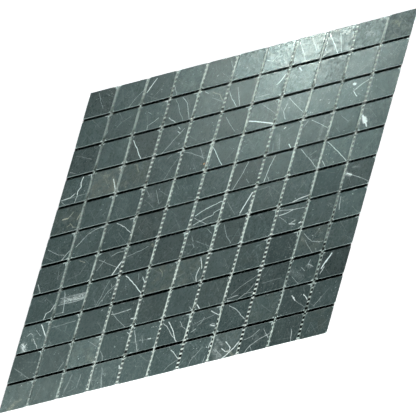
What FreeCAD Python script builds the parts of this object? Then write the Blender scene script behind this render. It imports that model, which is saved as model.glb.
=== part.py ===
import FreeCAD, Part
import os

# Mosaic sheet: square stone tiles glued face up on an open glass fibre mesh.
# Millimetres. X runs across the sheet, Y up it, and Z out of the tile faces.
# The origin is the middle of the sheet, on the underside of the mesh.

# tiles
tile_side = 25.4
tile_thickness = 9.5
arris_width = 0.4
joint_width = 2.3
tiles_across = 11
tiles_up = 11

# mesh, woven of flat strands that lie in two layers
strand_width = 1.3
strand_thickness = 0.3
strand_spacing = 4.25
strand_overrun = 0.5  # cut ends past the last strand that they cross
least_inset = 1.0  # the mesh stays this far inside the outer tiles

tile_pitch = tile_side + joint_width
sheet_width = tiles_across * tile_pitch - joint_width
sheet_height = tiles_up * tile_pitch - joint_width
mesh_thickness = 2 * strand_thickness


def middles(count, spacing):
    """Positions of equal things about the middle of the sheet."""
    return [(i - (count - 1) / 2) * spacing for i in range(count)]


def strand_middles(sheet_size):
    """Where strands lie across a side of the sheet, one of them in its middle."""
    room = sheet_size / 2 - least_inset - strand_overrun - strand_width / 2
    return middles(2 * int(room / strand_spacing) + 1, strand_spacing)


def strand_length(crossed):
    """From cut end to cut end, over all the strands that this one crosses."""
    return crossed[-1] - crossed[0] + strand_width + 2 * strand_overrun


def block(size_x, size_y, size_z, middle_x, middle_y, bottom):
    corner = FreeCAD.Vector(middle_x - size_x / 2, middle_y - size_y / 2, bottom)
    return Part.makeBox(size_x, size_y, size_z, corner)


def eased_tile():
    """One tile at the middle of the sheet, its upper arrises taken off at 45 degrees."""
    stone = block(tile_side, tile_side, tile_thickness, 0, 0, mesh_thickness)
    face = max(stone.Faces, key=lambda side: side.CenterOfMass.z)
    return stone.makeChamfer(arris_width, face.Edges)


def tile_row(tile, middle_y):
    row = []
    for middle_x in middles(tiles_across, tile_pitch):
        row.append(tile.translated(FreeCAD.Vector(middle_x, middle_y, 0)))
    return Part.makeCompound(row)


def lengthwise_strands(across, up):
    """The lower layer: strands up the sheet, which lie on the floor."""
    length = strand_length(up)
    strands = [block(strand_width, length, strand_thickness, x, 0, 0) for x in across]
    return Part.makeCompound(strands)


def crosswise_strands(across, up):
    """The upper layer: strands across the sheet, against the backs of the tiles."""
    length = strand_length(across)
    level = strand_thickness
    strands = [block(length, strand_width, strand_thickness, 0, y, level) for y in up]
    return Part.makeCompound(strands)


os.makedirs("parts", exist_ok=True)

tile = eased_tile()
# row 1 is the one at the top of the sheet
for number, middle_y in enumerate(reversed(middles(tiles_up, tile_pitch)), start=1):
    tile_row(tile, middle_y).exportStep(f"parts/tile_row_{number:02d}.step")

across = strand_middles(sheet_width)
up = strand_middles(sheet_height)
lengthwise_strands(across, up).exportStep("parts/mesh_lengthwise_strands.step")
crosswise_strands(across, up).exportStep("parts/mesh_crosswise_strands.step")
print("sheet", sheet_width, "by", sheet_height, "by", mesh_thickness + tile_thickness)
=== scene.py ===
import math
import random

import bpy
import numpy as np
from mathutils import Matrix, Vector


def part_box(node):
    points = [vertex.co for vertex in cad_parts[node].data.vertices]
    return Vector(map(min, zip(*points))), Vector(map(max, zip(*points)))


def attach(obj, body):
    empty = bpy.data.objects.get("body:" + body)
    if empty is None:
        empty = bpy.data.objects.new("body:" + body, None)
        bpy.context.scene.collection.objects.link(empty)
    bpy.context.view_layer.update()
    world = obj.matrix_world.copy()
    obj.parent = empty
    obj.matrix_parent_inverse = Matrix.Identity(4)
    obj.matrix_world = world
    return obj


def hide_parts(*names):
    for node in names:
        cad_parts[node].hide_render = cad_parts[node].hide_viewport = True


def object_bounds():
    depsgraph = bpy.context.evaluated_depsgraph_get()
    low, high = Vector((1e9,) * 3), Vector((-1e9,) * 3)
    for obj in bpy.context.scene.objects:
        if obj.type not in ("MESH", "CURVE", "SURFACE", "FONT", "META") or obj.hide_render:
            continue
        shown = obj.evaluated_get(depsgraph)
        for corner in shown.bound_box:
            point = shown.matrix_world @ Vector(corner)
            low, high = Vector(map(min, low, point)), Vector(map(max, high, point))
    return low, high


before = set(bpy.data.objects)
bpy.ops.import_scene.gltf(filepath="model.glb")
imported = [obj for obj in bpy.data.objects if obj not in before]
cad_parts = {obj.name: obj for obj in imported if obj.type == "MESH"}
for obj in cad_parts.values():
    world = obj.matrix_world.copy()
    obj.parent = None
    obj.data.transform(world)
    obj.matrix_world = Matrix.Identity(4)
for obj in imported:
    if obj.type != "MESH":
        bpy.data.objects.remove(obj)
cadLow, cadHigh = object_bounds()
print("frame loaded, the sheet spans", [round(v, 4) for v in cadHigh - cadLow])


class Wire:
    # a socket that can stand in a sum: each operator adds its Math node
    def __init__(self, nodes, socket):
        self.nodes, self.socket = nodes, socket

    def math(self, operation, *others, clamp=False):
        settings = {"operation": operation, "use_clamp": clamp}
        return self.nodes.add("ShaderNodeMath", settings, dict(enumerate((self, *others))))

    def __add__(self, other):
        return self.math("ADD", other)

    def __mul__(self, other):
        # a tuple stretches a vector by one number for each axis
        if isinstance(other, tuple):
            return self.nodes.vector("MULTIPLY", self, other)
        return self.math("MULTIPLY", other)

    def __sub__(self, other):
        return self.math("SUBTRACT", other)

    def reflected(self, operation, other):
        return self.nodes.add("ShaderNodeMath", {"operation": operation}, {0: other, 1: self})

    def __rsub__(self, other):
        return self.reflected("SUBTRACT", other)

    def __rtruediv__(self, other):
        return self.reflected("DIVIDE", other)

    def __neg__(self):
        return 0.0 - self

    def __abs__(self):
        return self.math("ABSOLUTE")

    def __truediv__(self, other):
        return self.math("DIVIDE", other)

    __radd__ = __add__
    __rmul__ = __mul__

    def out(self, name):
        return Wire(self.nodes, self.socket.node.outputs[name])


class Nodes:
    # one tree, shader or geometry
    def __init__(self, tree):
        self.tree = tree

    def add(self, kind, settings=None, values=None, output=0):
        node = self.tree.nodes.new(kind)
        for name, setting in (settings or {}).items():
            setattr(node, name, setting)
        for name, value in (values or {}).items():
            self.feed(node.inputs[name], value)
        return Wire(self, node.outputs[output]) if len(node.outputs) else node

    def feed(self, socket, value):
        if isinstance(value, Wire):
            self.tree.links.new(value.socket, socket)
        else:
            socket.default_value = value

    def split(self, vector):
        # the X of a vector, whose out("Y") and out("Z") are the other two
        return self.add("ShaderNodeSeparateXYZ", None, {0: vector})

    def combine(self, **axes):
        return self.add("ShaderNodeCombineXYZ", None, axes)

    def vector(self, operation, *values):
        output = "Value" if operation in ("LENGTH", "DOT_PRODUCT") else 0
        return self.add("ShaderNodeVectorMath", {"operation": operation}, dict(enumerate(values)), output)

    def scale(self, vector, factor):
        return self.add("ShaderNodeVectorMath", {"operation": "SCALE"}, {0: vector, "Scale": factor})

    def mix(self, factor, first, second):
        settings = {"data_type": "RGBA", "clamp_factor": True}
        return self.add("ShaderNodeMix", settings, {0: factor, 6: first, 7: second}, 2)

    def spread(self, value, low, high, to=(0.0, 1.0), smooth=True):
        # maps low..high to the two values of to, and holds them outside
        settings = {"interpolation_type": "SMOOTHSTEP" if smooth else "LINEAR"}
        return self.add("ShaderNodeMapRange", settings, {0: value, 1: low, 2: high, 3: to[0], 4: to[1]})

    def noise(self, place, scale, detail=3.0, roughness=0.5, twist=0.0, four=None):
        settings = {"noise_dimensions": "3D" if four is None else "4D"}
        values = {
            "Vector": place, "Scale": scale, "Detail": detail, "Roughness": roughness, "Distortion": twist}
        if four is not None:
            values["W"] = four
        return self.add("ShaderNodeTexNoise", settings, values)

    def objectPlace(self):
        return self.add("ShaderNodeTexCoord", None, None, "Object")

    def surface(self, shader):
        self.add("ShaderNodeOutputMaterial", None, {"Surface": shader})

    def moved(self, shape, **how):
        return self.add("GeometryNodeSetPosition", None, {"Geometry": shape, **how})

    def placed(self, shape, points, **how):
        # a copy of the shape at each of the points
        copies = self.add("GeometryNodeInstanceOnPoints", None, {
            "Points": points, "Instance": shape, **how})
        return self.add("GeometryNodeRealizeInstances", None, {"Geometry": copies})

    def join(self, *shapes):
        node = self.tree.nodes.new("GeometryNodeJoinGeometry")
        for shape in shapes:
            self.tree.links.new(shape.socket, node.inputs[0])
        return Wire(self, node.outputs[0])


def put(name, data):
    thing = bpy.data.objects.new(name, data)
    bpy.context.collection.objects.link(thing)
    return thing


def shaderTree(name):
    material = bpy.data.materials.new(name)
    material.use_nodes = True
    material.node_tree.nodes.clear()
    return material, Nodes(material.node_tree)


def shapeTree(name, inputs):
    # a geometry tree with these named inputs
    kinds = {float: "Float", int: "Int", tuple: "Vector"}
    tree = bpy.data.node_groups.new(name, "GeometryNodeTree")
    tree.interface.new_socket("Shape", in_out="OUTPUT", socket_type="NodeSocketGeometry")
    for label, value in inputs.items():
        kind = kinds.get(type(value), "Material")
        socket = tree.interface.new_socket(label, in_out="INPUT", socket_type="NodeSocket" + kind)
        if kind != "Material":
            socket.default_value = value
    nodes = Nodes(tree)
    entry = nodes.add("NodeGroupInput")
    return tree, nodes, {label: entry.out(label) for label in inputs}


def grow(name, tree, inputs):
    # runs the tree on an empty mesh and keeps its result as a plain mesh
    holder = put(name + "_rule", bpy.data.meshes.new(name + "_rule"))
    modifier = holder.modifiers.new("rule", "NODES")
    modifier.node_group = tree
    sockets = {s.name: s.identifier for s in tree.interface.items_tree if s.in_out == "INPUT"}
    for label, value in inputs.items():
        modifier[sockets[label]] = value
    seen = holder.evaluated_get(bpy.context.evaluated_depsgraph_get())
    mesh = bpy.data.meshes.new_from_object(seen)
    mesh.name = name
    bpy.data.objects.remove(holder)
    piece = put(name, mesh)
    mesh.calc_loop_triangles()
    print(name, len(mesh.vertices), "points,", len(mesh.loop_triangles), "triangles")
    return piece


# the sheet's sizes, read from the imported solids
topRow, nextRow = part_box("tile_row_01"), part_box("tile_row_02")
tileSide = topRow[1].y - topRow[0].y
halfTile = tileSide / 2
pitch = topRow[0].y - nextRow[0].y
tileCount = round((cadHigh.x - cadLow.x + pitch - tileSide) / pitch)
halfSheet = cadHigh.x
tileBottom, tileTop = topRow[0].z, topRow[1].z
closeBy = 0.00001  # closer than this counts as the same place


# the tiles

tileLook = {
    "edgePoints": 26,  # along each side of a tile
    "arris": 0.0004,  # height of the eased edge
    "draft": 0.00006,  # how far the sides lean in below the arris
    "easing": 0.00032,  # how far the top face is drawn in
    "lead": 0.0001,  # the drawing in starts this far below the arris
    "lopsided": 0.0002,  # how far up the sheet a top face sits, so that its lower arris is the wider one
    "chip": 0.0011,  # deepest bruise of an arris
    "shift": 0.0002,  # how far a tile sits out of line
    "turn": 0.35,  # degrees in the plane of the sheet
    "tilt": 0.22,  # degrees out of it
    "play": 0.00006,  # taken off the thickness, so that a tilted tile has room
    "sink": 0.0001,  # how far a tilted back may press into the mesh
    "undersize": 0.003,  # share by which the smallest tile is smaller
    "seed": 11,
}

# veins of the stone, read on a ruled print of the photo: points (x to the right and y down, in
# hundredths of a tile), strength (below 0 for a warm beige one), breadth (1 is about half a millimetre)
# the ruler sets the print's tiles on the sheet, in pitches from its top left corner
ruler = {"start": (0.092, 0.1), "right": (0.985, 0.005), "down": (0.005, 0.997)}
strokeLook = {
    "strength": 1.7, "contrast": 1.25,  # a factor, and a power that weakens the faint ones
    "reach": 0.00031, "spread": 0.00012,  # half the breadth, and what a strong stroke adds
}
veins = [
    ([(27, 3), (43, 38), (57, 64)], 0.42, 0.45), ([(67, 5), (88, 29)], 0.16, 0.4),
    ([(193, 29), (165, 60), (149.5, 87)], 0.45, 0.5), ([(225.5, 3), (217, 18), (202, 47)], 0.9, 0.85),
    ([(255, 36), (228, 74)], 0.2, 0.4), ([(255, 36)], 0.5, 0.6), ([(212, 69)], 0.4, 0.5),
    ([(298.5, 49), (315, 82)], 0.5, 0.6), ([(315, 38), (345, 55)], 0.2, 0.35), ([(366, 12)], 0.6, 0.7),
    ([(392, 35)], 0.7, 0.9), ([(426, 6), (435, 28)], 0.2, 0.4),
    ([(481.5, 10), (488, 27), (497, 40)], 0.5, 0.5), ([(455, 40), (493, 72)], 0.25, 0.4),
    ([(444, 51.5)], 0.5, 0.7), ([(609, 40), (633, 49), (641, 36)], 0.7, 0.8),
    ([(712, 6), (734, 45), (748, 77)], 0.7, 0.6), ([(755, 1), (780, 51.5)], 0.55, 0.6),
    ([(812, 2), (835, 40), (861, 84)], 0.9, 0.7), ([(848.5, 10), (862, 42), (870, 84)], 0.7, 0.65),
    ([(126, 149), (140, 133), (168, 120)], 0.22, 0.7), ([(227, 120), (243, 130)], 0.35, 0.7),
    ([(227, 133), (240, 165)], 0.22, 0.5), ([(242, 186), (240, 168), (260, 160), (272, 151)], 0.5, 0.8),
    ([(315, 97), (329, 117), (342, 145), (364, 182)], 0.42, 0.5),
    ([(341, 98), (362, 122), (378, 164), (384, 182)], 0.55, 0.6),
    ([(310, 160), (343, 187)], 0.55, 0.9), ([(445, 107), (474, 122), (490, 149)], -0.6, 0.6),
    ([(447, 127), (474, 141), (490, 150)], 0.35, 0.5),
    ([(417, 98), (430, 108)], 0.45, 0.8),
    ([(504, 118.5), (519, 145), (546, 183)], 0.6, 0.6),
    ([(532, 112), (542, 142), (556, 183)], 0.5, 0.7),
    ([(698, 99), (680, 132), (672, 140)], 0.75, 1.1),
    ([(606, 168), (657, 169)], 0.35, 0.7),
    ([(734, 97), (744, 110)], 0.9, 1.3),
    ([(731, 129)], 0.7, 0.9), ([(756, 135)], 0.7, 0.7), ([(793, 136)], 0.5, 0.8),
    ([(947, 173), (993, 142)], 0.25, 0.5),
    ([(6, 214), (40, 228), (69, 241)], 0.28, 0.5), ([(36, 200), (6, 246)], 0.2, 0.5),
    ([(1, 269), (26, 281)], 0.35, 0.5), ([(71, 230)], 0.5, 0.7),
    ([(203, 210), (228, 250), (248.5, 286)], 0.95, 0.65),
    ([(378, 213), (350, 246), (321, 284)], 0.4, 0.8), ([(353, 202), (362, 212)], 0.5, 1.0),
    ([(357, 219), (366, 228)], 0.5, 1.0), ([(518, 210), (540, 242), (564, 271)], 0.42, 0.5),
    ([(570, 266)], 0.35, 0.9), ([(581, 264)], 0.35, 0.8),
    ([(605, 246), (650, 260), (699.5, 278)], 1.0, 1.15),
    ([(634, 195), (672, 225), (699, 246)], 0.35, 0.5), ([(680, 197), (698, 216)], 0.3, 0.6),
    ([(727, 198), (770, 240), (800, 271)], 0.6, 0.5),
    ([(728.5, 216), (721, 243), (735, 273)], 0.55, 0.8), ([(949, 207), (953, 209)], 1.0, 2.6),
    ([(1000, 204), (980, 212), (955, 231)], 0.42, 1.8), ([(953, 233), (971, 254)], 0.75, 0.8),
    ([(971, 244), (1000, 262)], 0.25, 0.5),
    ([(56, 300), (53, 319), (58, 334), (50, 347), (51.5, 359)], 1.0, 0.85),
    ([(52, 362), (49, 387)], 0.5, 0.7), ([(1, 367), (29, 363), (39, 354)], 0.6, 1.3),
    ([(29, 365), (86, 363)], 0.2, 1.1), ([(1, 372), (19, 388)], 0.4, 0.5),
    ([(169, 335), (179, 357), (187, 378)], 0.8, 0.9), ([(180, 303), (190, 313)], -0.7, 1.2),
    ([(240, 302), (254, 330)], -0.3, 1.6), ([(387, 312), (367, 349), (354, 384)], 0.35, 0.6),
    ([(359, 299), (345, 310)], 0.35, 0.6),
    ([(401, 300), (432, 312), (478, 339)], 0.5, 0.5), ([(457.5, 300), (480, 345)], 0.42, 0.5),
    ([(503, 310), (528, 348), (552, 386)], 0.85, 0.6), ([(577, 333)], 0.6, 0.8),
    ([(742, 306), (746, 303)], 0.85, 1.2), ([(732, 324), (744, 381)], 0.35, 0.7),
    ([(717, 351), (722, 382)], 0.3, 0.7), ([(774, 367), (784, 382)], 0.85, 0.9),
    ([(832, 300), (869, 324), (900, 345)], 0.65, 0.5), ([(805, 324), (820, 300)], 0.4, 0.9),
    ([(935, 312), (965, 337.5)], 0.45, 0.5), ([(1011, 331), (1018, 340)], 0.8, 2.4),
    ([(1019, 342), (1026, 355)], 0.9, 4.6), ([(1028, 358), (1036, 374)], 0.9, 1.4),
    ([(24, 437), (42, 437)], -0.95, 1.4), ([(43, 436), (57, 419)], -0.6, 1.2),
    ([(84, 429), (77, 450)], -0.8, 0.9), ([(55, 458), (72, 475), (86, 478)], -0.55, 0.7),
    ([(48, 468), (56, 462)], -0.6, 0.8), ([(301, 403), (319, 430)], 0.35, 0.6),
    ([(306, 440), (345, 476)], 0.22, 0.6), ([(339, 415), (353, 450), (364, 470)], 0.35, 0.6),
    ([(350, 414)], 0.8, 0.8), ([(353, 420), (394, 453)], 0.22, 0.6),
    ([(407, 412), (420, 432)], 0.25, 0.6),
    ([(645, 396), (637.5, 427), (615, 485)], 0.5, 0.8),
    ([(654, 456), (666, 471)], 0.3, 0.8),
    ([(737, 397), (727, 430), (720, 487)], 0.65, 0.9),
    ([(729, 465), (740, 486)], 0.5, 0.6), ([(756, 459)], 0.35, 1.0),
    ([(823, 397), (846, 422), (871, 447.5), (899, 482)], 0.65, 0.5),
    ([(876, 446), (900, 453)], 0.3, 0.7), ([(861, 427), (881, 417)], 0.25, 1.1),
    ([(913, 396), (942, 423.5), (997, 480)], 0.8, 0.55),
    ([(912, 460), (930, 486)], 0.65, 0.6), ([(1030, 445)], 0.65, 0.7),
    ([(1, 535), (46.5, 564), (67, 569)], 0.5, 0.5), ([(89, 551), (59, 590)], 0.6, 0.8),
    ([(1, 562), (31, 580)], 0.25, 0.5), ([(101, 550), (110, 540)], 0.6, 0.7),
    ([(110, 540), (132, 515), (153, 505), (175, 500)], 0.52, 0.7), ([(175, 500), (192, 504)], 0.7, 0.9),
    ([(228, 500), (260, 522), (290, 550)], 0.75, 0.5),
    ([(508, 543), (538, 528), (586, 514), (598, 516)], 0.7, 0.8),
    ([(509, 576), (528, 567), (570, 556), (571, 548.5), (594, 540)], 0.68, 0.75),
    ([(506, 551), (559, 586)], 0.5, 0.6), ([(691, 511), (679, 541), (667, 572.5)], 1.0, 1.1),
    ([(667, 574), (668, 587)], 0.5, 0.9), ([(610, 523), (649, 576)], 0.3, 0.45),
    ([(711, 508), (747, 504)], 0.3, 0.7), ([(811, 586), (843, 583), (864, 575), (898, 571)], 0.62, 1.2),
    ([(1012, 527), (1030, 536)], 0.85, 1.2), ([(1030, 536), (1064, 553.5)], 0.5, 0.7),
    ([(1064, 553.5), (1098, 575)], 0.4, 0.6),
    ([(3, 654), (18.7, 687)], 0.5, 0.7), ([(63, 616), (69, 653)], 0.28, 0.5), ([(50, 626)], 0.45, 0.7),
    ([(131, 604), (151, 615)], -0.6, 0.7), ([(104.5, 664), (142, 654), (158, 624)], 0.25, 0.5),
    ([(200, 618), (251, 648), (290, 672)], 0.42, 0.5), ([(222, 624), (203, 655)], 0.4, 0.7),
    ([(288, 642), (274, 664), (262, 687)], 1.0, 1.15),
    ([(243, 616), (259, 609), (289, 607)], 0.42, 0.7),
    ([(301, 631), (329, 622.5), (346, 621), (367, 612)], 0.5, 0.65),
    ([(514, 614), (524.5, 636)], 0.35, 0.6), ([(533, 636), (591, 669)], 0.3, 0.5),
    ([(564, 602), (585, 624)], 0.4, 0.5), ([(526, 645), (536, 660)], 0.35, 0.7),
    ([(621, 602), (641, 646.5), (663, 675.5)], 0.5, 0.45), ([(679, 629), (657, 687)], 0.2, 0.6),
    ([(808, 602), (859, 610), (900, 612)], 0.5, 0.9), ([(810, 620), (830, 618), (856, 610)], 0.7, 0.9),
    ([(811, 624), (845, 651.5)], 0.4, 0.5), ([(855, 659), (876, 664)], 0.85, 0.8),
    ([(860, 657), (872, 650)], 0.7, 0.7), ([(889, 664), (900, 659)], 0.85, 1.3),
    ([(1013, 605), (1020, 650)], 0.42, 1.0),
    ([(56.5, 787), (60, 768), (74, 761), (83, 742)], 0.75, 0.8), ([(98, 725), (187, 724)], 0.42, 0.8),
    ([(98, 747), (150, 748), (187, 744)], 0.42, 0.9), ([(135, 740), (185, 741)], 0.5, 1.2),
    ([(150, 730), (185, 728)], 0.45, 0.8), ([(107, 703), (114.6, 730), (122, 778)], 0.55, 0.6),
    ([(121, 777)], 0.9, 1.1), ([(97, 779), (122, 776.5)], 0.4, 0.6),
    ([(262, 703), (253.5, 722), (246, 755), (233, 789)], 0.35, 0.7),
    ([(288, 722), (267, 742), (240, 789)], 0.45, 0.6), ([(315, 700), (341, 725), (392, 782)], 1.0, 0.7),
    ([(377, 720), (389, 740)], 0.65, 0.9), ([(359, 703), (364, 725)], 0.3, 0.7),
    ([(430, 705), (445, 720), (447.5, 735)], -0.5, 0.8), ([(569, 700), (584, 742)], 0.75, 0.7),
    ([(575, 737), (570, 765), (579, 789)], 0.75, 0.8), ([(646, 737)], -0.6, 0.8),
    ([(672, 760)], -0.6, 0.8),
    ([(917, 705), (935, 725), (955, 741), (978, 749), (995, 749.5)], 0.45, 0.6),
    ([(928.5, 732), (952.5, 765), (968, 785)], 0.3, 0.7),
    ([(56.5, 804), (67, 821), (83, 850)], 1.0, 0.85), ([(41, 848.5), (67, 890)], 0.55, 0.6),
    ([(3, 857), (17, 870)], 0.7, 1.0), ([(10, 872), (20, 885)], 0.7, 1.0),
    ([(20, 860), (14, 875)], 0.6, 0.8), ([(14, 833), (25, 825), (34, 832)], 0.4, 0.9),
    ([(42, 820), (64, 842)], 0.35, 0.6), ([(97, 823), (178, 818)], 0.38, 0.7),
    ([(149, 828), (149, 846)], 0.22, 1.0), ([(302, 827), (319, 829.5), (367, 824)], 0.5, 0.9),
    ([(301, 817), (319, 841), (369, 890)], 0.42, 0.5), ([(379, 860), (387, 862)], 0.8, 1.4),
    ([(577.5, 869), (594, 886)], 0.55, 0.6), ([(604, 868), (621, 890)], 0.95, 0.8),
    ([(798, 813), (778, 823), (742, 841), (717, 864)], 0.4, 0.6), ([(707, 874), (742, 870)], 0.5, 0.8),
    ([(707, 880), (732, 887)], 0.6, 0.7), ([(746, 884), (765, 871), (798, 870)], 0.4, 0.8),
    ([(798, 835), (768, 872)], 0.3, 0.9), ([(816, 848.5), (881, 846)], 0.25, 0.7),
    ([(837, 883)], 0.5, 1.0), ([(856, 860)], 0.35, 1.1), ([(967, 806), (965, 820)], 0.42, 0.9),
    ([(966, 820), (983, 833)], 0.35, 0.9), ([(943, 826), (957, 840)], 0.35, 0.8),
    ([(917, 851), (954, 890)], 0.35, 0.5), ([(1036, 802), (1022, 826), (1014, 847)], 1.0, 1.25),
    ([(1023, 843), (1014, 866)], 0.6, 0.8), ([(1093, 860)], -0.8, 0.8),
    ([(1030, 812), (1024, 830)], 1.0, 0.7),
    ([(2, 939), (68, 991)], 0.4, 0.4), ([(176.5, 958), (162.6, 988)], 0.4, 0.6),
    ([(246, 906), (281, 932)], 0.35, 0.5), ([(227, 960)], 0.8, 1.2), ([(219, 984)], -0.8, 0.9),
    ([(258, 986), (282, 990)], 0.5, 0.9), ([(245, 955)], 0.6, 0.8), ([(230, 945)], -0.6, 0.8),
    ([(378, 904), (389, 915)], 0.65, 0.7), ([(347, 947.5)], 0.65, 1.3),
    ([(300, 950), (307, 963), (317, 990)], 0.5, 0.55),
    ([(402, 907), (417, 947.5), (435, 991)], 0.5, 0.7), ([(400, 947.5), (488, 952.5)], 0.25, 0.7),
    ([(459, 949), (468, 950)], 0.85, 1.0), ([(433, 930), (445, 960)], 0.3, 0.7),
    ([(477, 912)], 0.6, 1.0), ([(488, 913)], 0.7, 1.0),
    ([(519, 906), (541, 937), (558.5, 973), (570, 992)], 0.85, 0.7),
    ([(502, 907), (526, 932), (541, 955), (558.5, 973)], 0.6, 0.6),
    ([(560, 915), (574, 935), (594, 954)], 0.42, 0.6),
    ([(662, 903), (672, 911), (695, 927)], 0.85, 0.7),
    ([(609, 940), (631, 930), (679, 920)], 0.35, 0.6), ([(643, 920), (638, 935), (625, 945)], 0.4, 0.7),
    ([(610, 963), (623, 955)], 0.55, 0.7), ([(671, 953), (688, 961)], 0.75, 1.1),
    ([(675, 950), (685, 952)], 0.5, 0.8), ([(722, 900), (752.5, 922), (797, 969)], 0.65, 0.55),
    ([(937, 919.5), (952.5, 940)], 0.7, 0.8), ([(943, 927), (946, 931)], 1.0, 1.2),
    ([(952.5, 940), (996, 974)], 0.3, 0.5), ([(978, 925), (997, 948)], 0.85, 0.7),
    ([(915, 978), (928, 989)], 0.4, 0.5), ([(1064, 922), (1045, 946)], 0.25, 0.5),
    ([(1045, 946), (1023, 974)], 0.42, 0.6),
    ([(220, 1011), (208, 1071)], 0.2, 1.5), ([(253.5, 1018), (248.5, 1058.5)], 0.3, 0.9),
    ([(322, 1013), (328, 1043), (342, 1093)], 0.42, 0.8), ([(382, 1020), (386, 1031)], 0.85, 1.2),
    ([(340, 1045)], 0.5, 1.6), ([(557, 1007), (593, 1050)], 0.8, 0.6),
    ([(590, 1050), (566, 1061), (551, 1076)], 0.38, 0.7),
    ([(665, 1026), (636, 1064), (630, 1090)], 0.45, 0.6), ([(692, 1007), (687, 1033)], 0.6, 1.0),
    ([(680, 1029)], 0.8, 1.1), ([(684, 1060), (680, 1090)], 0.4, 0.7),
    ([(797, 1031), (778, 1058.5), (752.5, 1081), (736, 1091)], 1.0, 1.0),
    ([(745, 1028), (768, 1053.5), (766, 1062)], 0.7, 0.9),
    ([(737, 1048.5), (752.5, 1062), (766, 1063.5)], 0.75, 0.8), ([(712, 1043), (742, 1074)], 0.35, 1.0),
    ([(807, 1036), (834, 1029.5), (855, 1013)], 0.38, 0.8),
    ([(868, 1013), (884, 1038), (898, 1057)], 0.5, 0.6),
    ([(819, 1090), (834, 1061), (867, 1045), (894, 1035)], 0.5, 0.9),
    ([(834, 1063), (850, 1088)], 0.35, 0.6), ([(838, 1040)], 0.5, 1.0),
    ([(969, 1040), (978, 1087)], 0.55, 0.6), ([(923, 1035)], 0.5, 0.8),
]

# soft, ragged patches, in the same form
blotches = [
    ([(1030, 17), (1050, 27)], -0.4, 6.0), ([(1050, 27), (1052, 40)], -0.4, 3.0),
    ([(945, 30), (975, 45)], 0.25, 10.0), ([(920, 72), (940, 80)], 0.25, 5.0),
    ([(165, 325), (185, 380)], -0.3, 6.0), ([(120, 310), (150, 320)], -0.25, 6.0),
    ([(218, 355), (225, 385)], -0.33, 3.6), ([(725, 325), (740, 370)], 0.15, 9.0),
    ([(878, 300), (876, 383)], 0.2, 6.0),
    ([(320, 420), (335, 450)], 0.12, 10.0), ([(762, 462), (768, 464)], 0.35, 2.5),
    ([(1012, 528), (1025, 536)], 0.6, 4.5), ([(1030, 510), (1050, 512)], 0.2, 5.0),
    ([(378, 608), (392, 620)], -0.45, 4.0),
    ([(112, 736), (177, 736)], 0.5, 8.0), ([(912, 715), (925, 735)], -0.25, 4.5),
    ([(8, 862), (20, 885)], 0.6, 6.5), ([(30, 830), (40, 840)], 0.15, 7.0),
    ([(962, 820), (972, 830)], 0.33, 5.0), ([(910, 830), (950, 860)], 0.14, 9.0),
    ([(260, 960), (285, 985)], -0.3, 7.0), ([(672, 955), (685, 958)], 0.45, 3.0),
    ([(25, 1082), (38, 1066)], -0.6, 6.0), ([(38, 1066), (58, 1058)], -0.5, 4.0),
    ([(330, 1035), (340, 1040)], 0.25, 4.0), ([(712, 1012), (736, 1036)], 0.3, 4.0),
    ([(712, 1045), (735, 1080)], 0.3, 10.0), ([(760, 1062), (788, 1085)], -0.45, 4.5),
    ([(840, 1030), (860, 1050)], 0.12, 9.0),
]

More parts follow.
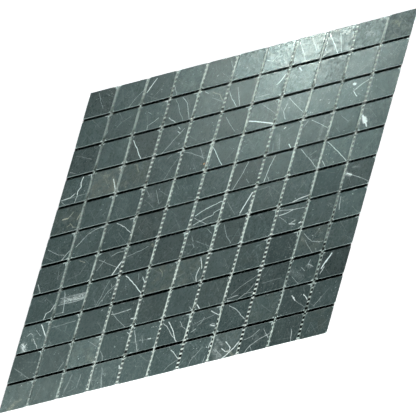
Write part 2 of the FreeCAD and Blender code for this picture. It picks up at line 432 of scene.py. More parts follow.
# tiles that stand out, (row, column) from the top left: lightness, brown, cloud, added roughness
oddTiles = {
    (0, 0): (0.7, 0, 0.1, 0), (0, 3): (1.0, 0, 0.6, 0), (0, 4): (0.75, 0, 0.5, 0),
    (0, 5): (1.2, 0, 0.9, -0.025), (0, 6): (1.4, 0, 0.9, -0.04), (0, 7): (1.4, 0.2, 1.0, -0.055),
    (0, 8): (1.1, 0.1, 0.9, -0.02), (0, 9): (1.2, 0, 1.0, 0.05), (0, 10): (0.9, 0.2, 0.8, 0.16),
    (1, 4): (1.0, 0.1, 0.5, 0.01), (1, 5): (0.85, 0, 0.3, 0.03), (1, 6): (1.2, 0, 0.9, -0.03),
    (1, 7): (1.4, 0.2, 1.0, -0.045), (1, 8): (1.05, 0, 0.9, -0.015), (1, 9): (1.15, 0, 0.5, -0.02),
    (2, 2): (0.65, 0, 0.1, 0), (2, 5): (0.65, 0, 0.1, 0), (2, 6): (0.75, 0, 0.7, 0.01),
    (2, 7): (1.3, 0, 0.6, -0.045), (2, 8): (1.2, 0, 0.4, -0.02), (2, 9): (1.35, 0, 0.5, -0.02),
    (2, 10): (1.1, 0, 0.3, 0),
    (3, 1): (1.1, 0.5, 0.3, 0), (3, 2): (1.0, 0.3, 0.2, 0), (3, 5): (0.85, 0, 0.1, 0),
    (3, 10): (1.2, 0, 0.3, 0),
    (4, 0): (0.95, 0.25, 0.1, 0), (4, 6): (0.65, 0, 0.1, 0), (4, 9): (1.3, 0.1, 0.2, 0),
    (4, 10): (1.25, 0, 0.3, 0),
    (5, 3): (0.75, 0.1, 0, 0), (5, 4): (0.8, 0, 0.1, 0), (5, 8): (1.1, 0, 0.2, 0),
    (6, 2): (0.8, 0, 0.1, 0), (6, 3): (0.75, 0, 0.1, 0), (6, 4): (0.65, 0, 0, 0),
    (6, 5): (0.8, 0, 0.2, 0), (6, 6): (0.65, 0, 0.1, 0), (6, 10): (1.2, 0, 0.2, 0),
    (7, 4): (1.0, 0.45, 0.1, 0), (7, 5): (1.15, 0.35, 0.1, 0), (7, 8): (0.78, 0, 0, 0),
    (7, 9): (1.0, 0.25, 0.1, 0),
    (8, 0): (1.4, 0, 0.4, 0), (8, 1): (1.2, 0, 0.1, 0), (8, 5): (1.0, 0, 0.1, 0), (8, 7): (0.75, 0, 0, 0),
    (8, 8): (0.7, 0, 0.15, 0), (8, 10): (0.6, 0, 0, 0),
    (9, 2): (1.4, 0.2, 0.5, 0), (9, 4): (1.2, 0, 0.2, 0), (9, 8): (1.1, 0.2, 0.1, 0),
    (10, 0): (1.3, 0.15, 0.3, 0), (10, 1): (1.25, 0.1, 0.2, 0), (10, 2): (1.25, 0, 0.3, 0),
    (10, 3): (1.25, 0, 0.55, 0), (10, 4): (1.2, 0, 0.35, 0), (10, 5): (1.2, 0, 0.2, 0),
    (10, 6): (1.2, 0, 0.35, 0), (10, 7): (1.1, 0.2, 0.6, 0), (10, 10): (0.95, 0.2, 0.1, 0),
}
# where an orange speck lies, in pitches of the tiles from the top left
orangeSpeck = (4.853, 3.68)
marksPerTile = 12

# the other tiles and their hairlines are left to chance
usualTone = {
    "lightness": (0.8, 1.06), "brown": (-0.5, 0.12), "cloud": (0.0, 0.25), "roughness": (-0.02, 0.03),
    "hairAngles": (-58, -52, -48, 55, 62, -20), "hairSwing": 14,  # degrees
    "hairLength": (0.004, 0.017), "hairWidth": (0.00014, 0.0003), "hairPlace": 0.011,
    "hairStrengths": (0.0, 0.04, 0.08, 0.11, 0.15), "dots": 0.35, "dotStrength": 1.8,  # share of dots
}


def tileShape(nodes, given, here):
    # one tile on its back, with its own place stored on its points
    square = nodes.add("GeometryNodeCurvePrimitiveQuadrilateral", {"mode": "RECTANGLE"}, {
        "Width": given["Tile side"], "Height": given["Tile side"]})
    outline = nodes.add("GeometryNodeResampleCurve", None, {
        "Curve": square, "Count": given["Outline points"]})
    base = nodes.add("GeometryNodeFillCurve", {"mode": "NGONS"}, {0: outline})
    upright = nodes.combine(Z=1.0)
    shoulder = given["Thickness"] - given["Arris"]
    sides = nodes.add("GeometryNodeExtrudeMesh", {"mode": "FACES"}, {
        "Mesh": base, "Offset": upright, "Offset Scale": shoulder, "Individual": False})
    cap = nodes.add("GeometryNodeExtrudeMesh", {"mode": "FACES"}, {
        "Mesh": sides, "Selection": sides.out("Top"), "Offset": upright,
        "Offset Scale": given["Arris"], "Individual": False})
    # the outline is drawn in a little at the shoulder and more at the top
    risen = nodes.split(here).out("Z")
    drawnIn = nodes.spread(
        risen, shoulder - given["Lead"], given["Thickness"], (given["Draft"], given["Easing"]), False)
    drawnIn = drawnIn * risen.math("GREATER_THAN", closeBy)
    shrink = 1.0 - 2.0 * drawnIn / given["Tile side"]
    narrowed = nodes.vector("MULTIPLY", here, nodes.combine(X=shrink, Y=shrink, Z=1.0))
    capped = nodes.moved(cap, Position=narrowed)
    under = nodes.add("GeometryNodeFlipFaces", None, {"Mesh": base})
    closed = nodes.add("GeometryNodeMergeByDistance", None, {
        "Geometry": nodes.join(under, capped), "Distance": closeBy})
    return nodes.add("GeometryNodeStoreNamedAttribute", {"data_type": "FLOAT_VECTOR", "domain": "POINT"}, {
        "Geometry": closed, "Name": "stonePlace", "Value": here})


def laidTiles(nodes, given, tile):
    # the tile at each place of the sheet, a little out of line, turned, tilted and undersized
    def scatter(step, reach):
        return nodes.add("FunctionNodeRandomValue", {"data_type": "FLOAT_VECTOR"}, {
            "Min": [-v for v in reach], "Max": reach, "Seed": given["Seed"] + step})

    grid = nodes.add("GeometryNodeMeshGrid", None, {
        "Size X": given["Pitch"] * (given["Across"] - 1.0), "Size Y": given["Pitch"] * (given["Up"] - 1.0),
        "Vertices X": given["Across"], "Vertices Y": given["Up"]})
    shift = nodes.scale(scatter(1, (1.0, 1.0, 0.0)), given["Shift"])
    turned = nodes.vector(
        "ADD", nodes.scale(scatter(2, (1.0, 1.0, 0.0)), given["Tilt"]),
        nodes.scale(scatter(3, (0.0, 0.0, 1.0)), given["Turn"]))
    share = nodes.add("FunctionNodeRandomValue", {"data_type": "FLOAT"}, {
        2: 1.0 - given["Undersize"], 3: 1.0, "Seed": given["Seed"] + 4}, 1)
    size = nodes.combine(X=share, Y=share, Z=1.0)
    return nodes.placed(tile, nodes.moved(grid, Offset=shift), Rotation=turned, Scale=size)


def bruise(nodes, given, here):
    # the rim of each tile is drawn in and down where a slow and a quick noise meet, and more at corners
    half = given["Tile side"] * 0.5
    place = nodes.add("GeometryNodeInputNamedAttribute", {"data_type": "FLOAT_VECTOR"}, {
        "Name": "stonePlace"})
    inTile = nodes.split(place)
    onRim = inTile.out("Z").math("GREATER_THAN", given["Thickness"] - given["Arris"] - closeBy)
    onTop = inTile.out("Z").math("GREATER_THAN", given["Thickness"] - closeBy)
    slow = nodes.spread(nodes.noise(here, 95.0, 2.0), 0.6, 0.74)
    cornering = abs(inTile) * abs(inTile.out("Y")) / (half * half)
    patchy = nodes.spread(nodes.noise(here, 60.0, 1.0), 0.5, 0.6)
    slow = slow + nodes.spread(cornering, 0.85, 0.97) * patchy * 0.7
    quick = nodes.spread(nodes.noise(here, 620.0, 2.0), 0.35, 0.75)
    uneven = nodes.noise(here, 420.0, 2.0) - 0.5
    depth = given["Chip"] * slow * quick + given["Arris"] * 0.6 * uneven
    inward = nodes.scale(place * (-1.0, -1.0, 0.0), 1.0 / half)
    # below the arris only the deep bruises reach down the side
    up = nodes.split(here).out("Y") / given["Half sheet"]
    drop = nodes.combine(
        Y=given["Lopsided"] * onTop * nodes.spread(up, -0.85, -0.2, (0.15, 1.0)),
        Z=(onTop - onRim) * (given["Chip"] * slow * quick * 0.9))
    return nodes.vector("ADD", nodes.scale(inward, depth * onTop), drop)


def tileTree(inputs):
    tree, nodes, given = shapeTree("mosaic_tiles", inputs)
    here = nodes.add("GeometryNodeInputPosition")
    tiles = laidTiles(nodes, given, tileShape(nodes, given, here))
    broken = nodes.moved(tiles, Offset=bruise(nodes, given, here))
    # nothing passes the limits of the sheet
    limit, where = given["Half sheet"], nodes.split(here)
    level = (where.out("Z") + given["Bottom"]).math("MINIMUM", given["Top"])
    held = nodes.combine(
        X=where.math("MINIMUM", limit).math("MAXIMUM", -limit),
        Y=where.out("Y").math("MINIMUM", limit).math("MAXIMUM", -limit),
        Z=level.math("MAXIMUM", given["Bottom"] - given["Sink"]))
    stone = nodes.add("GeometryNodeSetMaterial", None, {
        "Geometry": nodes.moved(broken, Position=held), "Material": given["Stone"]})
    nodes.add("NodeGroupOutput", None, {"Shape": stone})
    return tree


def tilesOf(stone):
    look = tileLook
    plain = ("arris", "draft", "easing", "lead", "lopsided", "chip", "shift", "undersize", "sink", "seed")
    inputs = {
        "Tile side": tileSide, "Thickness": tileTop - tileBottom - look["play"], "Pitch": pitch,
        "Across": tileCount, "Up": tileCount, "Outline points": 4 * look["edgePoints"],
        "Turn": math.radians(look["turn"]), "Tilt": math.radians(look["tilt"]),
        "Half sheet": halfSheet, "Bottom": tileBottom, "Top": tileTop, "Stone": stone,
        **{key.capitalize(): look[key] for key in plain},
    }
    return grow("marble_tiles", tileTree(inputs), inputs)


def readMarks():
    # the strokes of each tile: start, run, (reach, strength, softness), in metres from its middle
    look = strokeLook
    marks = {(row, column): [] for row in range(tileCount) for column in range(tileCount)}
    origin, right, down = (Vector(ruler[name]) for name in ("start", "right", "down"))
    for strokes, softness in ((veins, 0.0), (blotches, 1.0)):
        for points, strength, width in strokes:
            strength = math.copysign(look["strength"] * abs(strength) ** look["contrast"], strength)
            reach = width * (look["reach"] + look["spread"] * abs(strength))
            spots = [origin + (right * x + down * y) / 100 for x, y in points]
            for first, last in zip(spots, spots[1:] or spots):
                column, row = int((first.x + last.x) / 2), int((first.y + last.y) / 2)
                start = (first - Vector((column + 0.5, row + 0.5))) * pitch
                run = (last - first) * pitch
                kind = (reach, strength, softness)
                marks[row, column].append(((start.x, -start.y, 0), (run.x, -run.y, 0), kind))
    return marks


def hairline(chance):
    # one of the hairlines and dots that nearly every tile has
    look = usualTone
    swing, place = look["hairSwing"], look["hairPlace"]
    angle = math.radians(chance.choice(look["hairAngles"]) + chance.uniform(-swing, swing))
    reach = chance.uniform(*look["hairLength"])
    x, y = chance.uniform(-place, place), chance.uniform(-place, place)
    strength = chance.choice(look["hairStrengths"])
    if chance.random() < look["dots"]:
        reach, strength = 0.0, strength * look["dotStrength"]
    run = (math.cos(angle) * reach, math.sin(angle) * reach, 0)
    return (x - run[0] / 2, y - run[1] / 2, 0), run, (chance.uniform(*look["hairWidth"]), strength, 0)


def markTiles(piece):
    # writes each tile's strokes and tone on its points
    chance = random.Random(tileLook["seed"])
    marks = readMarks()
    for found in marks.values():
        del found[marksPerTile:]
        while len(found) < marksPerTile:
            found.append(hairline(chance))
    mesh = piece.data
    places = np.empty(len(mesh.vertices) * 3, np.float32)
    mesh.vertices.foreach_get("co", places)
    places = places.reshape(-1, 3)
    fromLeft, fromTop = places[:, 0] + halfSheet - halfTile, halfSheet - halfTile - places[:, 1]
    columns = np.clip(np.round(fromLeft / pitch), 0, tileCount - 1).astype(int)
    rows = np.clip(np.round(fromTop / pitch), 0, tileCount - 1).astype(int)

    def write(name, byTile):
        table = np.zeros((tileCount, tileCount, 3), np.float32)
        for key, values in byTile.items():
            table[key] = values
        attribute = mesh.attributes.new(name, "FLOAT_VECTOR", "POINT")
        attribute.data.foreach_set("vector", table[rows, columns].ravel())

    for k in range(marksPerTile):
        for part, label in enumerate(("Start", "Run", "Kind")):
            write(f"vein{label}{k}", {key: found[k][part] for key, found in marks.items()})
    tones, finishes = {}, {}
    for key in marks:
        lightness, brown, cloud = (
            chance.uniform(*usualTone[name]) for name in ("lightness", "brown", "cloud"))
        usual = (lightness, max(0.0, brown), cloud, 0.0)
        *tone, rougher = oddTiles.get(key, usual)
        tones[key] = tone
        finishes[key] = (rougher + chance.uniform(*usualTone["roughness"]), chance.random(), 0.0)
    write("stoneTone", tones)
    write("stoneFinish", finishes)


marbleLook = {
    "ground": (0.0265, 0.0488, 0.048, 1), "paler": (0.044, 0.074, 0.0725, 1),
    "brown": (0.1, 0.112, 0.085, 1), "cloud": (0.18, 0.235, 0.225, 1),
    "vein": (0.8, 0.92, 0.9, 1), "beige": (0.4, 0.43, 0.34, 1), "orange": (0.62, 0.36, 0.16, 1),
    # the sides of a tile that face left and right, pale partly as painted light, those that face up and
    # down, dark as painted shade, and all round the sheet
    "sawnAndLit": (0.58, 0.66, 0.63, 1), "split": (0.02, 0.027, 0.026, 1),
    "rim": (0.15, 0.19, 0.183, 1), "rimWidth": 0.0012,
    "arris": (0.27, 0.37, 0.36, 1), "bruise": (0.56, 0.7, 0.67, 1),
    "wander": 0.0015,  # how far a vein strays
    "speck": (0.0013, 0.0004),  # where the orange speck fades out, and where it is full
    "chipBand": (0.0008, 0.0003),  # the same for chips, from the edge of the tile
    "roughness": 0.25, "relief": 0.00007, "ior": 1.5,
}


def field(nodes, name):
    return nodes.add("ShaderNodeAttribute", {"attribute_name": name}, None, "Vector")


def strokeMasks(nodes, space, flat):
    # the white and the beige strokes, with ragged edges, and holes in the soft ones
    ragged = nodes.noise(space, 1900.0, 3.0, 0.65)
    holes = nodes.spread(nodes.noise(space, 720.0, 3.0, 0.6), 0.57, 0.4, (0.0, 0.9))
    white = beige = None
    for k in range(marksPerTile):
        kind, run = nodes.split(field(nodes, f"veinKind{k}")), field(nodes, f"veinRun{k}")
        soft = kind.out("Z")
        away = nodes.vector("SUBTRACT", flat, field(nodes, f"veinStart{k}"))
        along = nodes.vector("DOT_PRODUCT", away, run) / (nodes.vector("DOT_PRODUCT", run, run) + 1e-9)
        nearest = nodes.scale(run, along.math("ADD", 0.0, clamp=True))
        gap = nodes.vector("LENGTH", nodes.vector("SUBTRACT", away, nearest)) / kind
        edge = gap + (ragged - 0.5) * 1.3
        shown = nodes.spread(edge, soft * 0.2 + 1.15, 0.4 - soft * 0.7)
        stroke = shown * kind.out("Y") * (1.0 - soft * holes)
        white = stroke if white is None else white.math("MAXIMUM", stroke)
        beige = stroke if beige is None else beige.math("MINIMUM", stroke)
    fade = nodes.spread(nodes.noise(space, 430.0, 2.0), 0.3, 0.6, (0.6, 1.0))
    return white.math("MAXIMUM", 0.0) * fade, -beige.math("MINIMUM", 0.0) * fade


def scratchMask(nodes, place, turn, own):
    # two sets of long thin scratches, turned a little from tile to tile
    scratches = None
    for lean, step in ((0.9, 0.0), (-0.75, 3.0)):
        turned = nodes.add("ShaderNodeVectorRotate", {"rotation_type": "Z_AXIS"}, {
            "Vector": place, "Angle": turn + lean})
        thin = nodes.noise(turned * (1.0, 0.055, 0.0), 900.0, 2.0, 0.5, 0.0, own + step)
        line = nodes.spread(thin, 0.66, 0.76)
        scratches = line if scratches is None else scratches.math("MAXIMUM", line)
    return scratches


def wornMask(nodes, place, space, grain, pick):
    # rubbed corners, and on some tiles a white chip round the upper right one
    inTile = nodes.split(place)
    across, up = inTile, inTile.out("Y")
    cornering = abs(across) * abs(up) / halfTile ** 2
    worn = nodes.spread(cornering + grain * 0.2 + nodes.noise(space, 45.0, 1.0) * 0.3, 1.08, 1.18)
    corner = nodes.spread((across + up) / tileSide + nodes.noise(space, 30.0, 1.0) * 0.3, 0.97, 1.02)
    inner, outer = (halfTile - inset for inset in marbleLook["chipBand"])
    rimmed = nodes.spread(across.math("MAXIMUM", up) + grain * 0.0009, inner, outer)
    chipped = nodes.spread((pick * 7.3).math("FRACT"), 0.45, 0.65)
    return worn.math("MAXIMUM", corner * rimmed * chipped)


def sideColour(nodes, space, facing, sawMarks):
    # the two sides of a tile that face left and right are rough from the saw and pale, partly as painted
    # light; the two that face up and down are dark as painted shade
    look = marbleLook
    cut = nodes.mix(nodes.spread(abs(facing), 0.4, 0.6), look["split"], look["sawnAndLit"])
    where = nodes.split(space)
    outermost = abs(where).math("MAXIMUM", abs(where.out("Y")))
    cut = nodes.mix(outermost.math("GREATER_THAN", halfSheet - look["rimWidth"]), cut, look["rim"])
    return nodes.scale(cut, nodes.spread(sawMarks, 0.3, 0.7, (0.75, 1.15)))


def marble():
    look = marbleLook
    material, nodes = shaderTree("marble_honed")
    place, space = field(nodes, "stonePlace"), nodes.objectPlace()
    light = nodes.split(field(nodes, "stoneTone"))
    brownness, cloudiness = light.out("Y"), light.out("Z")
    finish = nodes.split(field(nodes, "stoneFinish"))
    pick = finish.out("Y")
    own = pick * 50.0  # sets the patterns of a tile apart from the next one's
    slow = nodes.add("ShaderNodeTexNoise", None, {
        "Vector": space, "Scale": 190.0, "Detail": 4.0, "Roughness": 0.6}, "Color")
    wander = nodes.scale(nodes.vector("SUBTRACT", slow, (0.5, 0.5, 0.5)), look["wander"])
    strayed = nodes.vector("ADD", place, wander)
    grain = nodes.noise(space, 900.0, 4.0, 0.7)
    wisps = nodes.noise(place * (1.0, 0.6, 1.0), 330.0, 5.0, 0.62, 0.9, own)
    crust = nodes.noise(place, 420.0, 2.0, 0.5, 0.5, own)

    # the body of the stone
    drift = nodes.noise(place * (1.0, 0.45, 1.0), 160.0, 4.0, 0.6, 0.4, own)
    body = nodes.mix(nodes.spread(drift, 0.3, 0.72), look["ground"], look["paler"])
    patches = nodes.spread(nodes.noise(place, 150.0, 5.0, 0.6, 0.8, own), 0.42, 0.6)
    body = nodes.mix(brownness * patches, body, look["brown"])
    cloudy = nodes.spread(wisps, 0.5, 0.78) + nodes.spread(crust, 0.64, 0.4) * 0.45
    body = nodes.mix(cloudy * cloudiness, body, look["cloud"])
    busy = nodes.spread(nodes.noise(place, 55.0, 2.0, 0.5, 0.0, own), 0.4, 0.62, (0.2, 1.0))
    specks = nodes.spread(nodes.noise(space, 640.0, 1.0), 0.7, 0.78) * busy
    body = nodes.mix(specks * 0.55, body, look["vein"])
    scratches = scratchMask(nodes, strayed, pick * 0.7, own)
    body = nodes.mix(scratches * busy * 0.22, body, look["vein"])
    shade = light * nodes.spread(grain, 0.2, 0.8, (0.78, 1.22), smooth=False)
    body = nodes.scale(body, shade)

    # the orange speck and the veins
    speckPlace = (orangeSpeck[0] * pitch - halfSheet, halfSheet - orangeSpeck[1] * pitch, 0.0)
    level = nodes.vector("ADD", space, wander) * (1.0, 1.0, 0.0)
    speckGap = nodes.vector("LENGTH", nodes.vector("SUBTRACT", level, speckPlace))
    body = nodes.mix(nodes.spread(speckGap, *look["speck"]), body, look["orange"])
    white, beige = strokeMasks(nodes, space, strayed * (1.0, 1.0, 0.0))
    body = nodes.mix(beige, body, look["beige"])
    body = nodes.mix(white, body, look["vein"])

    # the arris with its chips, painted paler as painted light where it faces up the sheet, and the sides,
    # told apart by how far the face leans
    facing = nodes.split(nodes.add("ShaderNodeNewGeometry", None, None, "True Normal"))
    steep = nodes.spread(facing.out("Z"), 0.97, 0.85)
    upright = nodes.spread(facing.out("Z"), 0.35, 0.2)
    upper = nodes.spread(facing.out("Y"), 0.1, 0.4)
    sawMarks = nodes.noise(space * (1.0, 1.0, 9.0), 260.0)
    # painted light: the arris is made paler where it faces up the sheet
    arrisChipsAndLight = nodes.mix(nodes.spread(grain + upper * 0.25, 0.45, 0.72), look["arris"], look["bruise"])
    colour = nodes.mix(steep, body, arrisChipsAndLight)
    colour = nodes.mix(wornMask(nodes, place, space, grain, pick), colour, look["bruise"])
    colour = nodes.mix(upright, colour, sideColour(nodes, space, facing, sawMarks))

    # the polish is pitted, and duller where the stone is cloudy
    pits = nodes.noise(place * (1.0, 0.7, 1.0), 640.0, 3.0, 0.75, 0.5, own)
    dull = nodes.spread(wisps * 0.2 + pits * 0.8, 0.39, 0.61, (-0.5, 1.0)) * (cloudiness * 0.12 + 0.035)
    dull = dull + nodes.spread(crust, 0.42, 0.66) * (cloudiness * 0.11 + 0.03)
    rough = finish + look["roughness"] + dull + steep * 0.3
    swell = nodes.noise(space, 420.0, 3.0, 0.6)
    relief = swell * 0.6 + grain * 0.25 + sawMarks * upright + crust * (cloudiness * 0.5 + 0.3)
    bump = nodes.add("ShaderNodeBump", None, {
        "Strength": 0.5, "Distance": look["relief"], "Height": relief})
    polished = nodes.add("ShaderNodeBsdfPrincipled", None, {
        "Base Color": colour, "Roughness": rough, "Normal": bump, "IOR": look["ior"]})
    matt = nodes.add("ShaderNodeBsdfDiffuse", None, {"Color": colour, "Normal": bump})
    nodes.surface(nodes.add("ShaderNodeMixShader", None, {0: upright, 1: polished, 2: matt}))
    return material


# the backing mesh

strandLook = {
    "spacing": 0.00425, "strands": 71, "depth": 0.0003, "sides": 6, "seed": 5,
    "overrun": 0.0004,  # past the last strand that is crossed
    # for the crosswise and for the lengthwise strands
    "width": (0.0018, 0.0013), "lift": (-0.00013, 0.00013),
    "wander": (0.0012, 0.0095), "drift": (-0.0008, 0.0006),
    # drops of glue: radius, height, share of the crossings, least and most stretch
    "drop": 0.0013, "dropRise": 0.003, "dropShare": 0.7,
    "dropStretch": ((0.5, 0.6, 1.9), (1.0, 1.5, 2.25)),
}


def glueDrops(nodes, given):
    # drops of glue, pressed up where the joints cross
    between = given["Joints"] - 1.0
    crossings = nodes.add("GeometryNodeMeshGrid", None, {
        "Size X": given["Pitch"] * between, "Size Y": given["Pitch"] * between,
        "Vertices X": given["Joints"], "Vertices Y": given["Joints"]})
    raised = nodes.moved(crossings, Offset=nodes.combine(Z=given["Drop rise"]))
    drop = nodes.add("GeometryNodeMeshIcoSphere", None, {"Radius": given["Drop"], "Subdivisions": 2})
    stretch = nodes.add("FunctionNodeRandomValue", {"data_type": "FLOAT_VECTOR"}, {
        "Min": given["Least stretch"], "Max": given["Most stretch"], "Seed": given["Seed"]})
    chosen = nodes.add("FunctionNodeRandomValue", {"data_type": "FLOAT"}, {
        2: 0.0, 3: 1.0, "Seed": given["Seed"] + 9}, 1)
    return nodes.placed(
        drop, raised, Selection=chosen.math("LESS_THAN", given["Drop share"]), Scale=stretch)


def strandTree(name, inputs, alongY):
    # strands side by side, each going over and under the ones that it crosses
    tree, nodes, given = shapeTree(name, inputs)
    ahead, aside = ("Y", "X") if alongY else ("X", "Y")
    half = given["Spacing"] * (given["Strands"] - 1.0) * 0.5
    reach = half + given["Width"] * 0.5 + given["Overrun"]
    line = nodes.add("GeometryNodeCurvePrimitiveLine", {"mode": "POINTS"}, {
        "Start": nodes.combine(**{ahead: -reach}), "End": nodes.combine(**{ahead: reach})})
    stepped = nodes.add("GeometryNodeResampleCurve", None, {
        "Curve": line, "Count": given["Strands"] * 2.0 + 1.0})
    feet = nodes.add("GeometryNodeMeshLine", None, {
        "Count": given["Strands"], "Start Location": nodes.combine(**{aside: -half}),
        "Offset": nodes.combine(**{aside: given["Spacing"]})})
    here = nodes.add("GeometryNodeInputPosition")
    where = nodes.split(here)
    run, row = where.out(ahead), where.out(aside)
    # over and under change from one crossing to the next, and from one strand to the next
    beat = (run + row) / given["Spacing"] * math.pi
    weave = beat.math("COSINE") * given["Lift"]
    # each strand has a wander of its own
    apart = (37.0, 1.0, 0.0) if alongY else (1.0, 37.0, 0.0)
    sway = nodes.noise(here * apart, 21.0, 2.0, 0.5, 0.0, given["Seed"] + 0.5)
    strayed = (sway - 0.5) * given["Wander"] + run / half * given["Drift"]
    offset = nodes.combine(**{aside: strayed, "Z": weave + given["Level"]})
    woven = nodes.moved(nodes.placed(stepped, feet), Offset=offset)
    ring = nodes.add("GeometryNodeCurvePrimitiveCircle", {"mode": "RADIUS"}, {
        "Resolution": given["Sides"], "Radius": given["Width"] * 0.5})
    flat = nodes.add("GeometryNodeTransform", None, {
        "Geometry": ring, "Scale": nodes.combine(X=1.0, Y=given["Depth"] / given["Width"], Z=1.0)})
    strands = nodes.add("GeometryNodeCurveToMesh", None, {
        "Curve": woven, "Profile Curve": flat, "Fill Caps": True})
    if not alongY:
        strands = nodes.join(strands, glueDrops(nodes, given))
    coated = nodes.add("GeometryNodeSetMaterial", None, {"Geometry": strands, "Material": given["Fibre"]})
    nodes.add("NodeGroupOutput", None, {"Shape": coated})
    return tree


def strandsOf(name, fibre, alongY):
    look = strandLook
    plain = ("spacing", "strands", "depth", "overrun", "sides", "drop")
    least, most = look["dropStretch"]
    inputs = {
        "Level": tileBottom / 2, "Joints": tileCount - 1, "Pitch": pitch, "Seed": look["seed"] + alongY,
        "Fibre": fibre, "Drop rise": look["dropRise"], "Drop share": look["dropShare"],
        "Least stretch": least, "Most stretch": most,
        **{key.capitalize(): look[key] for key in plain},
        **{key.capitalize(): look[key][alongY] for key in ("width", "lift", "wander", "drift")},
    }
    piece = grow(name, strandTree(name, inputs, alongY), inputs)
    for face in piece.data.polygons:
        face.use_smooth = True
    return piece


fibreLook = {
    "white": (0.86, 0.97, 0.91, 1), "shade": (0.72, 0.84, 0.77, 1), "paintedShade": (0.42, 0.53, 0.49, 1),
    "roughness": 0.55, "resin": 0.25, "relief": 0.0001,
    "shaded": 0.65,  # painted shade: how much darker the strands are in the left-right joints
}

# where the painted shade starts and where it is full, in metres on the sheet
jointShadeLook = {"left": (-0.055, -0.12), "right": (0.075, 0.1), "lower": (0.05, -0.04), "rightShare": 0.85}


def jointShadeMask(nodes, place):
    # painted shade: the joints are darker along the left side, and at the lower right
    look, where = jointShadeLook, nodes.split(place)
    left = nodes.spread(where, *look["left"])
    corner = nodes.spread(where, *look["right"]) * nodes.spread(where.out("Y"), *look["lower"])
    uneven = nodes.spread(nodes.noise(place, 70.0, 2.0), 0.3, 0.6, (0.6, 1.0))
    return left, left.math("MAXIMUM", corner * look["rightShare"]) * uneven


def joints(nodes, place):
    # 1 in the joints that run up and down the sheet, and in the others between their crossings
    where = nodes.split(nodes.scale(place, 1.0 / pitch))
    upDown, leftRight = [
        nodes.spread(abs(axis - axis.math("FLOOR") - 0.5), 0.09, 0.04)
        for axis in (where, where.out("Y"))]
    return upDown, leftRight * (1.0 - upDown)


def fibreMesh():
    look = fibreLook
    material, nodes = shaderTree("fibre_white")
    space = nodes.objectPlace()
    twist = nodes.add("ShaderNodeTexWave", {"wave_type": "BANDS", "bands_direction": "DIAGONAL"}, {
        "Vector": space, "Scale": 420.0, "Distortion": 2.0, "Detail": 2.0, "Detail Scale": 2.0}, "Fac")
    dirt = nodes.noise(space, 60.0)
    colour = nodes.mix(nodes.spread(dirt, 0.4, 0.7) * 0.5 + twist * 0.4, look["white"], look["shade"])
    # painted shade: the strands are darker along the left side and at the lower right
    colour = nodes.mix(jointShadeMask(nodes, space)[1], colour, look["paintedShade"])
    bump = nodes.add("ShaderNodeBump", None, {"Strength": 0.5, "Distance": look["relief"], "Height": twist})
    # resin stands thickest in the joints that run up and down the sheet, and the strands in the others are
    # darkened as painted shade
    upDown, leftRight = joints(nodes, space)
    colour = nodes.scale(colour, 1.0 - leftRight * look["shaded"])
    nodes.surface(nodes.add("ShaderNodeBsdfPrincipled", None, {
        "Base Color": colour, "Roughness": look["roughness"], "Specular IOR Level": 0.1, "Normal": bump,
        "Coat Weight": upDown * nodes.spread(dirt, 0.3, 0.5, (0.6, 1.0)), "Coat Roughness": look["resin"]}))
    return material


stone = marble()
tiles = tilesOf(stone)
markTiles(tiles)
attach(tiles, "root")
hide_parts(*[f"tile_row_{row:02d}" for row in range(1, tileCount + 1)])
print("tiles laid and marked")

fibre = fibreMesh()
lengthwise = strandsOf("fibre_lengthwise", fibre, 1)
crosswise = strandsOf("fibre_crosswise", fibre, 0)
for piece, node in ((lengthwise, "mesh_lengthwise_strands"), (crosswise, "mesh_crosswise_strands")):
    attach(piece, "root")
    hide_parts(node)
print("mesh woven")


# floor, light and camera

studio = {
    "floorSize": 6.0, "floorLevel": -0.0008, "floorGlow": 0.8, "floorColour": (0.8, 0.8, 0.8, 1),
    "barPower": (32.0, 14.0), "barSize": (0.2, 0.3), "barPlace": (0.02, 1.5, 1.25),
    "skyTop": 0.015, "skyRim": 0.08, "skyAlong": 0.9,  # overhead, at the horizon, and added along Y
    # reflectors that only show in the gloss: place, radius, strength in the middle
    "reflectors": [((0.075, 0.191, 0.71), 0.085, 100.0), ((-0.134, -0.212, 0.71), 0.11, 9.5)],
    "middleTint": (1.1, 0.945, 0.78, 1), "edgeTint": (0.7, 1.0, 1.0, 1),
    "tintFade": 0.63,  # the edge's tint is reached at this share of the radius
}

# painted shade: dark paper just under the tiles stands in for the shade there, so that the windows of the
# mesh read dark
underlay = {
    "level": -0.0003, "inset": 0.0003,  # from the side of the sheet
    "darkUnlit": (0.02, 0.027, 0.026, 1), "paleLit": (0.5, 0.58, 0.56, 1),
    "leaning": (-0.08, 0.1),  # from here to there in X, the paper is painted more and more paler up the sheet and darker down it, as painted light and shade
    "shaded": 0.8,  # painted shade: how much darker the paper is in the left-right joints
}


def plane(name, size, level, material):
    mesh = bpy.data.meshes.new(name)
    corners = [(x * size / 2, y * size / 2, level) for x, y in ((-1, -1), (1, -1), (1, 1), (-1, 1))]
    mesh.from_pydata(corners, [], [(0, 1, 2, 3)])
    mesh.materials.append(material)
    thing = put(name, mesh)
    return thing


floorPaint, nodes = shaderTree("floor_white")
rays = nodes.add("ShaderNodeLightPath")
glow = nodes.add("ShaderNodeEmission", None, {
    "Color": (1, 1, 1, 1), "Strength": rays.out("Is Camera Ray") * studio["floorGlow"]})
matt = nodes.add("ShaderNodeBsdfDiffuse", None, {"Color": studio["floorColour"]})
nodes.surface(nodes.add("ShaderNodeAddShader", None, {0: glow, 1: matt}))
plane("floor", studio["floorSize"], studio["floorLevel"], floorPaint)

paper, nodes = shaderTree("underlay_painted_shade")
ground = nodes.objectPlace()
where = nodes.split(ground)
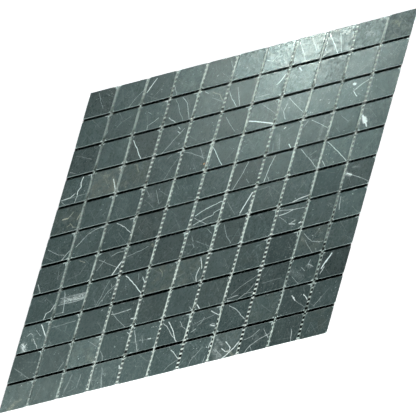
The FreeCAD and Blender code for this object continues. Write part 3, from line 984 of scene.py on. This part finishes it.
# painted light and shade: the paper is paler towards the top and darker towards the bottom, most on the
# right, paler along the left side, and darker in the left-right joints
leaning = nodes.spread(where, *underlay["leaning"], (0.15, 1.0)) * where.out("Y") / halfSheet
paperPaleness = nodes.noise(ground, 70.0) * 2.0 + leaning * 0.8 + jointShadeMask(nodes, ground)[0] * 0.5
paperLight = nodes.spread(paperPaleness, 0.3, 1.8) * (1.0 - joints(nodes, ground)[1] * underlay["shaded"])
nodes.surface(nodes.add("ShaderNodeBsdfDiffuse", None, {
    "Color": nodes.mix(paperLight, underlay["darkUnlit"], underlay["paleLit"])}))
plane("underlay", 2 * (halfSheet - underlay["inset"]), underlay["level"], paper)

world = bpy.data.worlds.new("studio")
bpy.context.scene.world = world
world.use_nodes = True
world.node_tree.nodes.clear()
nodes = Nodes(world.node_tree)
rays = nodes.add("ShaderNodeLightPath")
direction = nodes.split(nodes.add("ShaderNodeTexCoord", None, None, "Generated"))
upward, along = direction.out("Z"), direction.out("Y")
sky = nodes.spread(upward, 0.0, 0.75, (studio["skyRim"], studio["skyTop"]))
sky = sky + along * along * nodes.spread(upward, 0.9, 0.3) * studio["skyAlong"]
shown = nodes.spread(upward, 0.1, 0.9, (1.0, 0.3))  # what the gloss sees of it
seen = rays.out("Is Glossy Ray").math("MAXIMUM", rays.out("Is Transmission Ray"))
strength = sky + (shown - sky) * seen
strength = strength + (1.0 - strength) * rays.out("Is Camera Ray")
nodes.add("ShaderNodeOutputWorld", None, {
    "Surface": nodes.add("ShaderNodeBackground", None, {"Color": (1, 1, 1, 1), "Strength": strength})})

for side, power in zip((-1, 1), studio["barPower"]):
    bar = bpy.data.lights.new(f"bar_{side}", "AREA")
    bar.shape = "RECTANGLE"
    bar.size, bar.size_y = studio["barSize"]
    bar.energy = power
    lamp = put(f"bar_{side}", bar)
    x, y, z = studio["barPlace"]
    lamp.location = (x, y * side, z)
    lamp.rotation_euler = (-lamp.location).to_track_quat("-Z", "Y").to_euler()

for number, (place, radius, strength) in enumerate(studio["reflectors"]):
    glare, nodes = shaderTree(f"reflector_{number}")
    fromMiddle = nodes.vector("LENGTH", nodes.objectPlace())
    fade = nodes.spread(fromMiddle, 0.0, radius * studio["tintFade"])
    nodes.surface(nodes.add("ShaderNodeEmission", None, {
        "Color": nodes.mix(fade, studio["middleTint"], studio["edgeTint"]),
        "Strength": nodes.spread(fromMiddle, radius, 0.0, (0.0, strength))}))
    reflector = plane(f"reflector_{number}", 2 * radius, 0.0, glare)
    reflector.location = place
    reflector.visible_camera = reflector.visible_diffuse = reflector.visible_shadow = False

# the photo looks straight down on the sheet, but its frame is slanted: what is right and up in it aren't
# square to each other on the sheet. The camera gets such a frame through its parent, whose inverse holds
# the two directions as columns. Both lean a little out of the level, which sets their lengths
photo = {
    "right": -14.44, "up": 105.68,  # degrees from the sheet's X
    "rightLean": -0.272, "upLean": 0.183,  # rise for each unit along them
    "width": 0.44359,  # metres of sheet across the frame
    "height": 5.0, "foot": (-0.0004, 0.0035),
}


def frameAxis(side):
    lean, turn = photo[side + "Lean"], math.radians(photo[side])
    level = math.sqrt(1 - lean * lean)
    return math.cos(turn) * level, math.sin(turn) * level, lean


slant = Matrix((frameAxis("right"), frameAxis("up"), (0, 0, 1))).transposed().to_4x4()
camera = put("camera", bpy.data.cameras.new("camera"))
camera.parent = put("stand", None)
camera.matrix_parent_inverse = Matrix.Translation((*photo["foot"], tileTop + photo["height"])) @ slant
camera.data.sensor_width = 36
camera.data.lens = camera.data.sensor_width * photo["height"] / photo["width"]
camera.data.clip_end = 20
bpy.context.scene.camera = camera
bpy.context.scene.view_settings.view_transform = "Standard"
